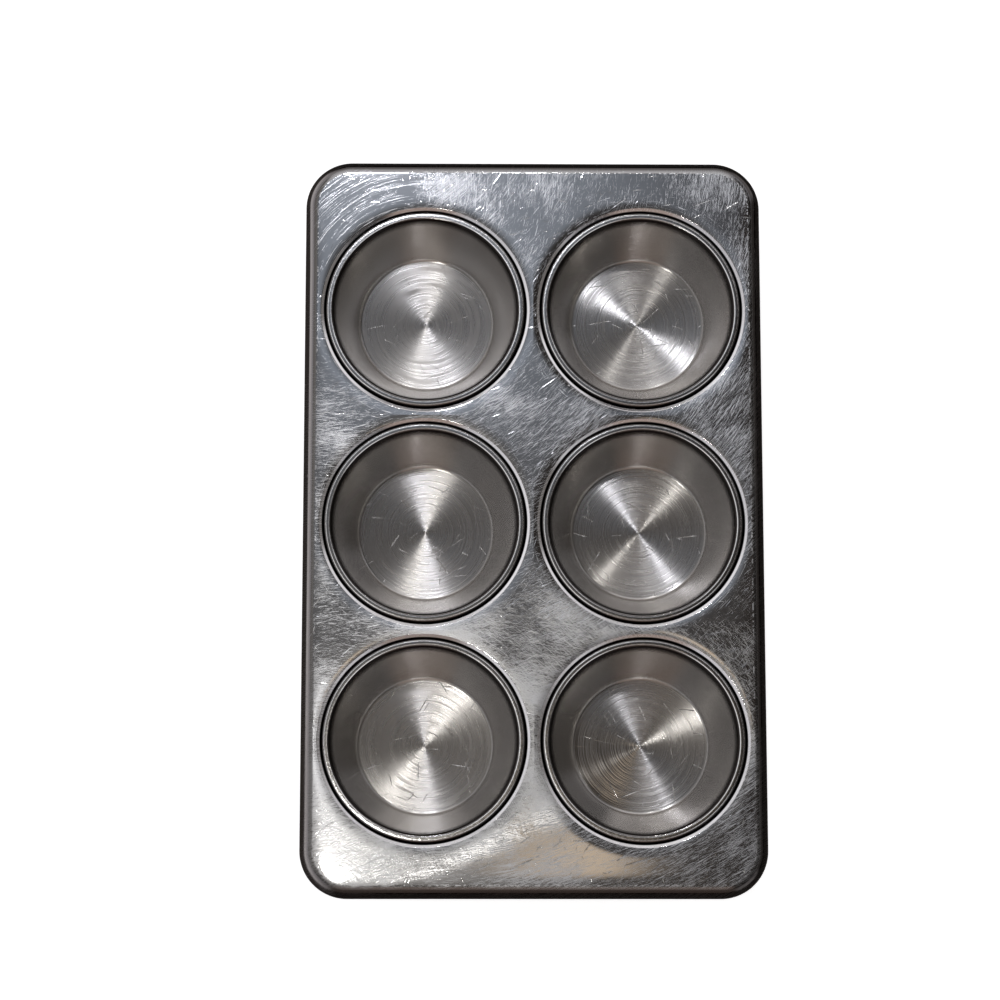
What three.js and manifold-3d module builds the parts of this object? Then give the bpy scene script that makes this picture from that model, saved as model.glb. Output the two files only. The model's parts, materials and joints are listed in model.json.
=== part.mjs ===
// Muffin pan in stainless steel sheet, in millimetres, +Z up.
// Six drawn cups are held by rolled lock seams in the turned-down holes of one pressed plate.
// The origin is the middle of the pan, on the plane that the cups' floors stand on.
// X runs across the two columns of cups and Y along the three rows.
import * as THREE from 'three';
import { mergeVertices } from 'three/addons/utils/BufferGeometryUtils.js';
import Module from 'manifold-3d';

// Rows and columns of cups, front to back and left to right
const ROWS = ['front', 'middle', 'back'];
const COLUMNS = ['left', 'right'];

// Cup, a drawn shell of even thickness
const CUP_SHEET = 0.6;
const MOUTH_D = 70;
const FLOOR_D = 50.5;
const CUP_DEPTH = 28;
const FLOOR_CORNER_R = 1.6;

// Rolled rim of the cup: two bends inside the roll, with a flat top between them
const RIM_INNER_BEND_R = 0.7;
const RIM_TOP_FLAT = 1.2;
const RIM_OUTER_BEND_R = 0.3;
const RIM_BELOW_PLATE = 0.2;

// Plate: its sheet, the turned-down collar of each hole and the spaces round the holes
const PLATE_SHEET = 0.7;
const SHOULDER_BEND_R = 1.1;
const COLLAR_DEPTH = 5.2;
const WEB = 2;
const SIDE_MARGIN = 6;
const END_MARGIN = 18.5;
const CORNER_R = 18;

// Rolled edge of the plate: round over, short straight wall, round under, narrow lip
const EDGE_BEND_R = 4.3;
const EDGE_WALL = 0.6;
const EDGE_LIP = 1;

// Lock seam: the cup's flange runs down inside the collar, under it and up outside it
const SEAM_GAP = 0.3;
const HOOK_HEIGHT = 1.4;

// Facets
const ROUND_STEPS = 32;
const CORNER_STEPS = 4;
const EDGE_STEPS = 5;
const SHOULDER_STEPS = 3;
const BEND_STEPS = 2;
const WELD_DISTANCE = 0.0001;
const CUT_SPARE = 1;

// Radii of one cup and of the hole that holds it
const mouthR = MOUTH_D / 2;
const floorR = FLOOR_D / 2;
const rimInnerR = RIM_INNER_BEND_R + CUP_SHEET;
const rimOuterR = RIM_OUTER_BEND_R + CUP_SHEET;
const flangeR = mouthR + rimInnerR + RIM_TOP_FLAT + rimOuterR;
const collarInnerR = flangeR + SEAM_GAP;
const collarOuterR = collarInnerR + PLATE_SHEET;
const hookInnerR = collarOuterR + SEAM_GAP;
const hookOuterR = hookInnerR + CUP_SHEET;
const shoulderR = SHOULDER_BEND_R + PLATE_SHEET;
const holeR = collarInnerR + shoulderR;
const landR = holeR + WEB / 4;

// Layout of the cups and outside size of the plate
const pitch = 2 * holeR + WEB;
const plateHalfW = pitch * (COLUMNS.length - 1) / 2 + holeR + SIDE_MARGIN;
const plateHalfL = pitch * (ROWS.length - 1) / 2 + holeR + END_MARGIN;
const edgeR = EDGE_BEND_R + PLATE_SHEET;

// Heights above the plane that the pan stands on
const floorTop = CUP_SHEET;
const plateTop = floorTop + CUP_DEPTH;
const rimTop = plateTop - RIM_BELOW_PLATE;
const collarEnd = plateTop - COLLAR_DEPTH;
const hookFloorTop = collarEnd - SEAM_GAP;
const hookFloor = hookFloorTop - CUP_SHEET;
const hookTop = hookFloorTop + HOOK_HEIGHT;
const edgeWallEnd = plateTop - edgeR - EDGE_WALL;

// The cup's wall is the straight line that touches both the floor's corner and the rim's inner bend.
// It leans out from the vertical by this angle.
const wallRun = mouthR + rimInnerR - floorR;
const wallRise = rimTop - rimInnerR - floorTop - FLOOR_CORNER_R;
const bendSum = rimInnerR + FLOOR_CORNER_R;
const wallLean = Math.atan2(wallRun, wallRise) - Math.asin(bendSum / Math.hypot(wallRun, wallRise));

const wasm = await Module();
wasm.setup();

// Points of an arc in the radius and height plane, angles in radians from the outward direction
function arc(radius, height, bend, from, to, steps) {
  const points = [];
  for (let step = 0; step <= steps; step += 1) {
    const angle = from + (to - from) * step / steps;
    points.push(new THREE.Vector2(radius + bend * Math.cos(angle), height + bend * Math.sin(angle)));
  }
  return points;
}

function point(radius, height) {
  return new THREE.Vector2(radius, height);
}

// Merges shared vertices and drops the triangles that collapse on the axis
function weld(geometry) {
  geometry.deleteAttribute('normal');
  geometry.deleteAttribute('uv');
  const welded = mergeVertices(geometry, WELD_DISTANCE);
  const corners = welded.index.array;
  const kept = [];
  for (let i = 0; i < corners.length; i += 3) {
    const [a, b, c] = corners.slice(i, i + 3);
    if (a !== b && b !== c && c !== a) {
      kept.push(a, b, c);
    }
  }
  welded.setIndex(kept);
  return welded;
}

// Turns a profile of radius and height about the vertical axis
function turned(profile) {
  const geometry = new THREE.LatheGeometry(profile, ROUND_STEPS);
  geometry.rotateX(Math.PI / 2);
  return weld(geometry);
}

function toSolid(geometry) {
  const vertProperties = Float32Array.from(geometry.attributes.position.array);
  const triVerts = Uint32Array.from(geometry.index.array);
  return new wasm.Manifold(new wasm.Mesh({ numProp: 3, vertProperties, triVerts }));
}

function toGeometry(solid) {
  const mesh = solid.getMesh();
  const geometry = new THREE.BufferGeometry();
  geometry.setAttribute('position', new THREE.BufferAttribute(mesh.vertProperties, 3));
  geometry.setIndex(new THREE.BufferAttribute(mesh.triVerts, 1));
  geometry.computeVertexNormals();
  return geometry;
}

// Rectangle with round corners, about the origin
function roundedRectangle(halfW, halfL, cornerR) {
  const shape = new THREE.Shape();
  const x = halfW - cornerR;
  const y = halfL - cornerR;
  shape.absarc(x, y, cornerR, 0, Math.PI / 2);
  shape.absarc(-x, y, cornerR, Math.PI / 2, Math.PI);
  shape.absarc(-x, -y, cornerR, Math.PI, Math.PI * 1.5);
  shape.absarc(x, -y, cornerR, Math.PI * 1.5, Math.PI * 2);
  shape.closePath();
  return shape;
}

// Places of the cups' axes, with their names
function cupPlaces() {
  const places = [];
  ROWS.forEach((row, rowIndex) => {
    COLUMNS.forEach((column, columnIndex) => {
      const x = (columnIndex - (COLUMNS.length - 1) / 2) * pitch;
      const y = (rowIndex - (ROWS.length - 1) / 2) * pitch;
      places.push({ name: `cup_${row}_${column}`, x, y });
    });
  });
  return places;
}

// Slab with fully rounded edges, whose round starts at the plate's flat outline
function roundEdgedSlab(outline, bendR) {
  const geometry = new THREE.ExtrudeGeometry(outline, {
    depth: EDGE_WALL,
    curveSegments: CORNER_STEPS,
    bevelSegments: EDGE_STEPS,
    bevelSize: bendR,
    bevelThickness: bendR,
  });
  geometry.translate(0, 0, edgeWallEnd);
  return toSolid(weld(geometry));
}

// The plate's sheet with its rolled edge: an outer slab less an inner one, opened from below
function edgedSheet() {
  const flatHalfW = plateHalfW - edgeR;
  const flatHalfL = plateHalfL - edgeR;
  const flatCornerR = CORNER_R - edgeR;
  const flat = roundedRectangle(flatHalfW, flatHalfL, flatCornerR);
  const inside = roundedRectangle(flatHalfW - EDGE_LIP, flatHalfL - EDGE_LIP, flatCornerR - EDGE_LIP);
  const opening = new THREE.ExtrudeGeometry(inside, {
    depth: edgeR + CUT_SPARE,
    curveSegments: CORNER_STEPS,
    bevelEnabled: false,
  });
  opening.translate(0, 0, edgeWallEnd - edgeR - CUT_SPARE);
  const shell = roundEdgedSlab(flat, edgeR).subtract(roundEdgedSlab(flat, EDGE_BEND_R));
  return shell.subtract(toSolid(weld(opening)));
}

// Hole through the plate's sheet, where the shoulder of a collar starts
function holeCut(x, y) {
  const geometry = new THREE.CylinderGeometry(holeR, holeR, PLATE_SHEET + 2 * CUT_SPARE, ROUND_STEPS);
  geometry.rotateX(Math.PI / 2);
  geometry.translate(x, y, plateTop - PLATE_SHEET / 2);
  return toSolid(weld(geometry));
}

// Collar: a land in the sheet, the rounded shoulder and the straight turned-down wall
function collar(x, y) {
  const bendHeight = plateTop - shoulderR;
  const profile = [
    point(collarInnerR, collarEnd),
    point(collarOuterR, collarEnd),
    ...arc(holeR, bendHeight, SHOULDER_BEND_R, Math.PI, Math.PI / 2, SHOULDER_STEPS),
    point(landR, plateTop - PLATE_SHEET),
    point(landR, plateTop),
    ...arc(holeR, bendHeight, shoulderR, Math.PI / 2, Math.PI, SHOULDER_STEPS),
    point(collarInnerR, collarEnd),
  ];
  const geometry = turned(profile);
  geometry.translate(x, y, 0);
  return toSolid(geometry);
}

function plate() {
  let solid = edgedSheet();
  for (const { x, y } of cupPlaces()) {
    solid = solid.subtract(holeCut(x, y));
  }
  for (const { x, y } of cupPlaces()) {
    solid = solid.add(collar(x, y));
  }
  return toGeometry(solid);
}

// Cup: out along its underside, up its wall, round its flange and hook, over its rim and down inside
function cup() {
  const cornerHeight = floorTop + FLOOR_CORNER_R;
  const innerBendR = mouthR + rimInnerR;
  const outerBendR = flangeR - rimOuterR;
  const flangeInnerR = flangeR - CUP_SHEET;
  const profile = [
    point(0, 0),
    ...arc(floorR, cornerHeight, FLOOR_CORNER_R + CUP_SHEET, -Math.PI / 2, -wallLean, BEND_STEPS),
    ...arc(innerBendR, rimTop - rimInnerR, RIM_INNER_BEND_R, Math.PI - wallLean, Math.PI / 2, BEND_STEPS),
    ...arc(outerBendR, rimTop - rimOuterR, RIM_OUTER_BEND_R, Math.PI / 2, 0, 1),
    point(flangeInnerR, hookFloor),
    point(hookOuterR, hookFloor),
    point(hookOuterR, hookTop),
    point(hookInnerR, hookTop),
    point(hookInnerR, hookFloorTop),
    point(flangeR, hookFloorTop),
    ...arc(outerBendR, rimTop - rimOuterR, rimOuterR, 0, Math.PI / 2, BEND_STEPS),
    ...arc(innerBendR, rimTop - rimInnerR, rimInnerR, Math.PI / 2, Math.PI - wallLean, BEND_STEPS),
    ...arc(floorR, cornerHeight, FLOOR_CORNER_R, -wallLean, -Math.PI / 2, BEND_STEPS),
    point(0, floorTop),
  ];
  const geometry = turned(profile);
  geometry.computeVertexNormals();
  return geometry;
}

// Buffed sheet for the plate and satin drawn sheet for the cups
const buffedSteel = { color: 0xb4b3b1, roughness: 0.22, metalness: 1 };
const satinSteel = { color: 0xa29e97, roughness: 0.36, metalness: 1 };

const pan = new THREE.Group();
pan.name = 'muffin_pan';

const plateMesh = new THREE.Mesh(plate(), new THREE.MeshStandardMaterial(buffedSteel));
plateMesh.name = 'frame_plate';
pan.add(plateMesh);

for (const { name, x, y } of cupPlaces()) {
  const cupMesh = new THREE.Mesh(cup(), new THREE.MeshStandardMaterial(satinSteel));
  cupMesh.name = name;
  cupMesh.position.set(x, y, 0);
  pan.add(cupMesh);
}

export default pan;
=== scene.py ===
# %% [markdown]
# # A stainless steel muffin pan
# The real pan is sheet metal bakeware. One pressed plate has six round holes with turned-down collars,
# and a drawn cup is locked into every collar by a rolled seam. This lesson loads the measured solids as a
# fixed frame and then models the surfaces that the eye sees: the rolled edge, the beads round the cups,
# the spun floors and the buffed, scratched plate.

# %% Load the frame
import json
import math

import bmesh
import bpy
from mathutils import Matrix, Vector

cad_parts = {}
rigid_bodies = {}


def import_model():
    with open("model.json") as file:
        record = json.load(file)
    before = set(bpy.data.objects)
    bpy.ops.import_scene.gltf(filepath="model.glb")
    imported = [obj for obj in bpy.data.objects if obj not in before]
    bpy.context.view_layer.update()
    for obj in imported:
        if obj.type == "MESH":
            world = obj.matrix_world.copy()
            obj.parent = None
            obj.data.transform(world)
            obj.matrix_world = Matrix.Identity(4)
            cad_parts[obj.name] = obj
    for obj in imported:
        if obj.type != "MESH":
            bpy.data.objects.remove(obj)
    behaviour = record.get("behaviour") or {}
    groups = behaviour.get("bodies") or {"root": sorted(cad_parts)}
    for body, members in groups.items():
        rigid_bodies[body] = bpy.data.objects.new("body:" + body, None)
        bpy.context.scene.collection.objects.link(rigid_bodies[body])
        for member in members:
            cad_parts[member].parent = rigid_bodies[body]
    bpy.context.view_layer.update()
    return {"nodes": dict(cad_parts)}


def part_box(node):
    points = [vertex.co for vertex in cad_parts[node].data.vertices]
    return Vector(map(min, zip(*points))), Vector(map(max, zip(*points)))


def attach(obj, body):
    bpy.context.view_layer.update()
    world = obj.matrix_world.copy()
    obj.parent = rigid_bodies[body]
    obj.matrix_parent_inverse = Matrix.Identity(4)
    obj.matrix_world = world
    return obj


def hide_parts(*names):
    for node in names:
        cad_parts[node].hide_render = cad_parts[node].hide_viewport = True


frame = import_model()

MM = 0.001
plate_low, plate_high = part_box("frame_plate")
plate_size = plate_high - plate_low
plate_middle = (plate_high + plate_low) / 2
cup_nodes = sorted(name for name in frame["nodes"] if name.startswith("cup_"))
cup_axes = {}
for name in cup_nodes:
    cup_low, cup_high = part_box(name)
    middle = (cup_low + cup_high) / 2
    cup_axes[name] = Vector((middle.x, middle.y, 0))
cup_pitch = max(axis.y for axis in cup_axes.values())
print("plate", [round(side / MM, 1) for side in plate_size], "mm, cups", len(cup_axes))

# %% [markdown]
# ## The camera
# The photograph looks almost straight down, from a little in front of the pan and left of its middle.
# A camera could be framed by eye, but here the rings of all six cups were used to work out where the lens
# stood, so its place and its focal length are real sizes. The picture is taken to be 1000 pixels square.

# %% Camera
PHOTO_SIZE_PX = 1000
FOCAL_LENGTH_PX = 2887
SENSOR_WIDTH_MM = 36
CAMERA_PLACE = Vector((-25.5, -169.6, 1113.6)) * MM
CAMERA_TARGET = Vector((-12.8, 8.5, 28.6)) * MM
PHOTO_UP = Vector((0, 1, 0))

camera_data = bpy.data.cameras.new("camera")
camera_data.sensor_width = SENSOR_WIDTH_MM
camera_data.lens = SENSOR_WIDTH_MM * FOCAL_LENGTH_PX / PHOTO_SIZE_PX
camera = bpy.data.objects.new("camera", camera_data)
bpy.context.scene.collection.objects.link(camera)
forward = (CAMERA_TARGET - CAMERA_PLACE).normalized()
rightward = forward.cross(PHOTO_UP).normalized()
upward = rightward.cross(forward)
camera_turn = Matrix((rightward, upward, -forward)).transposed().to_4x4()
camera.matrix_world = Matrix.Translation(CAMERA_PLACE) @ camera_turn
bpy.context.scene.camera = camera
print("lens", round(camera_data.lens, 1), "mm")

# %% [markdown]
# ## Sizes of the cup
# A cup is drawn from one disc of sheet, so every bend is an arc and the sheet is equally thick all over.
# Its outline is worked out from the same few sizes as the solids: the mouth, the floor, the depth and the
# radius of every bend. The wall is the straight line that touches the floor's corner and the rim's bend.

# %% Cup sizes
CUP_SHEET = 0.6 * MM
MOUTH_R = 35 * MM
FLOOR_R = 25.25 * MM
FLOOR_CORNER_R = 1.6 * MM
RIM_INNER_BEND_R = 0.7 * MM
RIM_TOP_FLAT = 1.2 * MM
RIM_OUTER_BEND_R = 0.3 * MM
RIM_BELOW_PLATE = 0.2 * MM
PLATE_SHEET = 0.7 * MM
COLLAR_DEPTH = 5.2 * MM
SEAM_GAP = 0.3 * MM
HOOK_HEIGHT = 1.4 * MM

plate_top = plate_high.z
floor_top = CUP_SHEET
rim_top = plate_top - RIM_BELOW_PLATE
collar_end = plate_top - COLLAR_DEPTH
rim_inner_r = RIM_INNER_BEND_R + CUP_SHEET
rim_outer_r = RIM_OUTER_BEND_R + CUP_SHEET
flange_r = MOUTH_R + rim_inner_r + RIM_TOP_FLAT + rim_outer_r
collar_r = flange_r + SEAM_GAP
hook_inner_r = collar_r + PLATE_SHEET + SEAM_GAP
hook_top = collar_end - SEAM_GAP + HOOK_HEIGHT
wall_run = MOUTH_R + rim_inner_r - FLOOR_R
wall_rise = rim_top - rim_inner_r - floor_top - FLOOR_CORNER_R
bend_sum = rim_inner_r + FLOOR_CORNER_R
wall_lean = math.atan2(wall_run, wall_rise) - math.asin(bend_sum / math.hypot(wall_run, wall_rise))
lean_deg = math.degrees(wall_lean)
print("wall leans", round(lean_deg, 1), "degrees, flange radius", round(flange_r / MM, 1), "mm")

# %% [markdown]
# ## One cup
# A lathe shape could be cut from a cylinder, but then every bend needs its own bevel. A single corner that
# is extruded along half of the cross-section and then spun round the axis gives all bends at once, because
# the cup has the same section all round. The path runs out under the floor, up the wall, round the hook of
# the lock seam, over the bead and back down to the middle of the floor, which is dished a little.

# %% Cup outline
FLOOR_RINGS = 12
FLOOR_DISH = 0.3 * MM
BEND_STEPS = 8
LIP_STEPS = 4


def arc(centre_r, centre_z, bend_r, start_deg, end_deg, steps):
    """Points of an arc in the plane of radius and height."""
    points = []
    for step in range(steps + 1):
        angle = math.radians(start_deg + (end_deg - start_deg) * step / steps)
        points.append((centre_r + bend_r * math.cos(angle), centre_z + bend_r * math.sin(angle)))
    return points


floor_corner = (FLOOR_R, floor_top + FLOOR_CORNER_R)
inner_bend = (MOUTH_R + rim_inner_r, rim_top - rim_inner_r)
outer_bend = (flange_r - rim_outer_r, rim_top - rim_outer_r)
hook_bend_r = (hook_inner_r - flange_r) / 2
hook_bend = (flange_r + hook_bend_r, collar_end - SEAM_GAP + hook_bend_r)
lip_r = CUP_SHEET / 2
cup_outline = [(FLOOR_R * ring / FLOOR_RINGS, 0) for ring in range(FLOOR_RINGS)]
cup_outline += arc(*floor_corner, FLOOR_CORNER_R + CUP_SHEET, -90, -lean_deg, BEND_STEPS)
cup_outline += arc(*inner_bend, RIM_INNER_BEND_R, 180 - lean_deg, 90, BEND_STEPS)
cup_outline += arc(*outer_bend, RIM_OUTER_BEND_R, 90, 0, BEND_STEPS)
cup_outline += arc(*hook_bend, hook_bend_r + CUP_SHEET, 180, 360, BEND_STEPS)
cup_outline += arc(hook_inner_r + lip_r, hook_top - lip_r, lip_r, 0, 180, LIP_STEPS)
cup_outline += arc(*hook_bend, hook_bend_r, 360, 180, BEND_STEPS)
cup_outline += arc(*outer_bend, rim_outer_r, 0, 90, BEND_STEPS)
cup_outline += arc(*inner_bend, rim_inner_r, 90, 180 - lean_deg, BEND_STEPS)
cup_outline += arc(*floor_corner, FLOOR_CORNER_R, -lean_deg, -90, BEND_STEPS)
for ring in reversed(range(FLOOR_RINGS)):
    share = ring / FLOOR_RINGS
    cup_outline.append((FLOOR_R * share, floor_top - FLOOR_DISH * (1 - share ** 2)))
print("cup outline has", len(cup_outline), "points")

# %% [markdown]
# ## Working by hand, in code
# By hand, a piece starts as a new primitive with nothing else selected, because a tool works on all that is
# selected. Two small helpers do that. The cup then starts as a small plane whose corners are merged into
# one, and that corner is drawn along the outline and spun.

# %% Spin the cup
SPIN_STEPS = 180
SMOOTH_ANGLE = math.radians(40)
WELD = 0.002 * MM


def clear_selection():
    bpy.ops.object.select_all(action="DESELECT")


def start_piece(name):
    """Names the primitive that was just added and opens it for editing."""
    piece = bpy.context.object
    piece.name = name
    piece.data.name = name
    bpy.ops.object.mode_set(mode="EDIT")
    return piece


clear_selection()
bpy.ops.mesh.primitive_plane_add(size=MM, location=(0, 0, 0))
cup = start_piece("cup_master")
bpy.ops.mesh.select_all(action="SELECT")
bpy.ops.mesh.merge(type="CENTER")
here = cup_outline[0]
for there in cup_outline[1:]:
    step = (there[0] - here[0], 0, there[1] - here[1])
    bpy.ops.mesh.extrude_vertices_move(TRANSFORM_OT_translate={"value": step})
    here = there
bpy.ops.mesh.select_all(action="SELECT")
bpy.ops.mesh.spin(steps=SPIN_STEPS, angle=2 * math.pi, center=(0, 0, 0), axis=(0, 0, 1))
bpy.ops.mesh.select_all(action="SELECT")
bpy.ops.mesh.remove_doubles(threshold=WELD)
bpy.ops.mesh.normals_make_consistent(inside=False)
bpy.ops.object.mode_set(mode="OBJECT")
bpy.ops.object.shade_smooth_by_angle(angle=SMOOTH_ANGLE)
print("cup", len(cup.data.vertices), "corners", [round(side / MM, 2) for side in cup.dimensions], "mm")

# %% [markdown]
# ## A map of the cup
# Brush lines run in circles round the cup's axis, so the finish has to know which way is outwards and
# which way is round. A UV map gives that: U grows along the cross-section and V goes once round the axis.
# Unwrapping with seams would give islands that turn, so the map is written from each corner's own place.

# %% Cup map
UV_PER_METRE = 10


def map_round_axis(piece, map_name):
    """U is radius plus height, which grows all the way from the floor's middle to the bead; V is the turn."""
    layer = piece.data.uv_layers.new(name=map_name)
    for face in piece.data.polygons:
        middle_turn = math.atan2(face.center.y, face.center.x)
        for loop_index in face.loop_indices:
            corner = piece.data.vertices[piece.data.loops[loop_index].vertex_index].co
            corner_r = math.hypot(corner.x, corner.y)
            turn = math.atan2(corner.y, corner.x) if corner_r > WELD else middle_turn
            turn = middle_turn + math.remainder(turn - middle_turn, 2 * math.pi)
            layer.data[loop_index].uv = ((corner_r + corner.z) * UV_PER_METRE, turn / (2 * math.pi))


map_round_axis(cup, "round_axis")
print("map", [layer.name for layer in cup.data.uv_layers])

# %% [markdown]
# ## Sizes of the plate
# The plate's outline comes from the frame. Its edge is rolled over and under with one bend radius, and the
# edge of each hole is turned down over a smaller shoulder into a straight collar.

# %% Plate sizes
CORNER_R = 18 * MM
EDGE_R = 5 * MM
EDGE_STRAIGHT = 0.6 * MM
EDGE_LIP = 1 * MM
SHOULDER_R = 1.8 * MM

hole_r = collar_r + SHOULDER_R
edge_height = 2 * EDGE_R + EDGE_STRAIGHT
edge_bottom = plate_top - edge_height
print("hole radius", round(hole_r / MM, 2), "mm, edge", round(edge_height / MM, 2), "mm high")

# %% [markdown]
# ## The plate's rolled edge
# The plate starts as a block of its outside size. Rounding the four upright edges gives the corners, and
# rounding the loops at the top and the bottom gives the roll. A swept cross-section would also do, but the
# bevel keeps the top as one flat face that the holes can be cut into. A helper selects corners, edges or
# faces by a test on their place or normal, as the mouse would.

# %% Plate block
CORNER_SEGMENTS = 24
EDGE_SEGMENTS = 12
SAME_PLACE = 0.01 * MM


def near(value, wanted):
    return abs(value - wanted) < SAME_PLACE


def pick(piece, kind, test):
    """Selects the corners (verts), edges or faces of the piece that pass the test, and nothing else."""
    bpy.ops.mesh.select_mode(type={"verts": "VERT", "edges": "EDGE", "faces": "FACE"}[kind])
    bpy.ops.mesh.select_all(action="DESELECT")
    mesh = bmesh.from_edit_mesh(piece.data)
    mesh.normal_update()
    found = [part for part in getattr(mesh, kind) if test(part)]
    for part in found:
        part.select_set(True)
    mesh.select_flush_mode()
    bmesh.update_edit_mesh(piece.data)
    return len(found)


clear_selection()
bpy.ops.mesh.primitive_cube_add(size=1, location=(0, 0, 0))
plate = start_piece("plate")
bpy.ops.mesh.select_all(action="SELECT")
bpy.ops.transform.resize(value=(plate_size.x, plate_size.y, edge_height))
bpy.ops.transform.translate(value=(plate_middle.x, plate_middle.y, (plate_top + edge_bottom) / 2))
pick(plate, "edges", lambda edge: near(edge.verts[0].co.x, edge.verts[1].co.x)
     and near(edge.verts[0].co.y, edge.verts[1].co.y))
bpy.ops.mesh.bevel(offset=CORNER_R, segments=CORNER_SEGMENTS, affect="EDGES")
for loop_z in (plate_top, edge_bottom):
    pick(plate, "edges", lambda edge: all(near(corner.co.z, loop_z) for corner in edge.verts))
    bpy.ops.mesh.bevel(offset=EDGE_R, segments=EDGE_SEGMENTS, affect="EDGES")
bpy.ops.object.mode_set(mode="OBJECT")
print("block", [round(side / MM, 2) for side in plate.dimensions], "mm,", len(plate.data.polygons), "faces")

# %% [markdown]
# ## Holes
# The real holes are punched with a round tool. Here six round punches press a shallow pocket into the
# block with a Boolean. Insetting six circles by hand would need the top to be divided first, and the
# Boolean keeps it flat.

# %% Punch the holes
HOLE_STEPS = 180
PUNCH_DEPTH = 2 * MM


def apply_modifiers(piece):
    for modifier in list(piece.modifiers):
        bpy.ops.object.modifier_apply(modifier=modifier.name)


clear_selection()
for axis in cup_axes.values():
    bpy.ops.mesh.primitive_cylinder_add(vertices=HOLE_STEPS, radius=hole_r, depth=2 * PUNCH_DEPTH,
                                        location=(axis.x, axis.y, plate_top))
    bpy.context.object.name = "punch"
punches = [thing for thing in bpy.data.objects if thing.name.startswith("punch")]
clear_selection()
for punch in punches:
    punch.select_set(True)
bpy.context.view_layer.objects.active = punches[0]
bpy.ops.object.join()
punch = bpy.context.object

clear_selection()
plate.select_set(True)
bpy.context.view_layer.objects.active = plate
cut = plate.modifiers.new("holes", "BOOLEAN")
cut.operation = "DIFFERENCE"
cut.solver = "EXACT"
cut.object = punch
apply_modifiers(plate)
bpy.data.objects.remove(punch)
print("punched block has", len(plate.data.polygons), "faces")

# %% [markdown]
# ## Pockets and the open underside
# A narrow inset round the top face holds the flat of the top, so that the shading of the bends stops there.
# Then the pockets' floors and walls are deleted, which leaves clean round holes. The underside is inset by
# the width of the rolled lip and opened, so that what is left is the skin of the real sheet.

# %% Open the pockets and the underside
HOLD_RING = 0.12 * MM
FLAT_NORMAL = 0.99
POCKET_SEARCH = 1.5 * PUNCH_DEPTH


def hole_distance(place):
    """Distance of a place from the axis of the nearest hole."""
    return min(math.hypot(place.x - axis.x, place.y - axis.y) for axis in cup_axes.values())


bpy.ops.object.mode_set(mode="EDIT")
pick(plate, "faces", lambda face: face.normal.z > FLAT_NORMAL
     and near(face.calc_center_median().z, plate_top))
bpy.ops.mesh.inset(thickness=HOLD_RING, use_boundary=True)
pocket_faces = pick(plate, "faces", lambda face: hole_distance(face.calc_center_median()) < hole_r + WELD
                    and plate_top - POCKET_SEARCH < face.calc_center_median().z < plate_top - WELD)
bpy.ops.mesh.delete(type="FACE")
pick(plate, "faces", lambda face: face.normal.z < -FLAT_NORMAL
     and near(face.calc_center_median().z, edge_bottom))
bpy.ops.mesh.inset(thickness=EDGE_LIP)
bpy.ops.mesh.delete(type="FACE")
print("pocket faces taken out:", pocket_faces)

# %% [markdown]
# ## Shoulders and collars
# Each hole's rim is extruded ring by ring: a little smaller and a little lower every time, along the arc of
# the shoulder, and then straight down as the collar. The roller that closed the seam pressed the shoulder a
# little flat, so a straight stretch with a ring near each of its ends cuts the arc short.

# %% Turn the collars down
FLAT_START_DEG = 11
FLAT_END_DEG = 55
FLAT_HOLDS = (0.1, 0.9)
SHOULDER_TOP_STEPS = 3
SHOULDER_SIDE_STEPS = 6

shoulder_bend = (hole_r, plate_top - SHOULDER_R, SHOULDER_R)
shoulder_top = arc(*shoulder_bend, 90, 90 + FLAT_START_DEG, SHOULDER_TOP_STEPS)
shoulder_side = arc(*shoulder_bend, 90 + FLAT_END_DEG, 180, SHOULDER_SIDE_STEPS)
flat_start = Vector(shoulder_top[-1])
flat_end = Vector(shoulder_side[0])
pressed_flat = [tuple(flat_start.lerp(flat_end, share)) for share in FLAT_HOLDS]
collar_path = shoulder_top + pressed_flat + shoulder_side + [(collar_r, collar_end)]
for axis in cup_axes.values():
    pick(plate, "edges", lambda edge: edge.is_boundary and all(
        near(math.hypot(corner.co.x - axis.x, corner.co.y - axis.y), hole_r)
        and near(corner.co.z, plate_top) for corner in edge.verts))
    for (old_r, old_z), (new_r, new_z) in zip(collar_path, collar_path[1:]):
        bpy.ops.mesh.extrude_region_move(TRANSFORM_OT_translate={"value": (0, 0, new_z - old_z)})
        share = new_r / old_r
        bpy.ops.transform.resize(value=(share, share, 1), center_override=(axis.x, axis.y, 0))
print("collar drawn in", len(collar_path) - 1, "rings")

# %% [markdown]
# ## The sheet's thickness
# So far the plate is a skin with no thickness. A Solidify modifier adds the gauge of the sheet inwards, so
# the outside keeps its size.

# %% Thicken the sheet
bpy.ops.mesh.select_all(action="SELECT")
bpy.ops.mesh.remove_doubles(threshold=WELD)
bpy.ops.mesh.normals_make_consistent(inside=False)
bpy.ops.object.mode_set(mode="OBJECT")
skin = plate.modifiers.new("sheet", "SOLIDIFY")
skin.thickness = PLATE_SHEET
skin.offset = -1
skin.use_even_offset = True
apply_modifiers(plate)
bpy.ops.object.shade_smooth_by_angle(angle=SMOOTH_ANGLE)
print("plate", len(plate.data.polygons), "faces", [round(side / MM, 2) for side in plate.dimensions], "mm")

# %% [markdown]
# ## Building a finish from nodes
# Each finish is a Principled shader fed by patterns. One helper adds a node, sets it and links it, and one
# turns a colour as it is seen on a screen into the linear values that the shader wants.

# %% Node helpers
MIDDLE_GREY = "#808080"


def linear(hex_colour):
    """Linear colour, with alpha, of an sRGB hex value."""
    channels = [int(hex_colour[place:place + 2], 16) / 255 for place in (1, 3, 5)]
    return [c / 12.92 if c <= 0.04045 else ((c + 0.055) / 1.055) ** 2.4 for c in channels] + [1]


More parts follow.
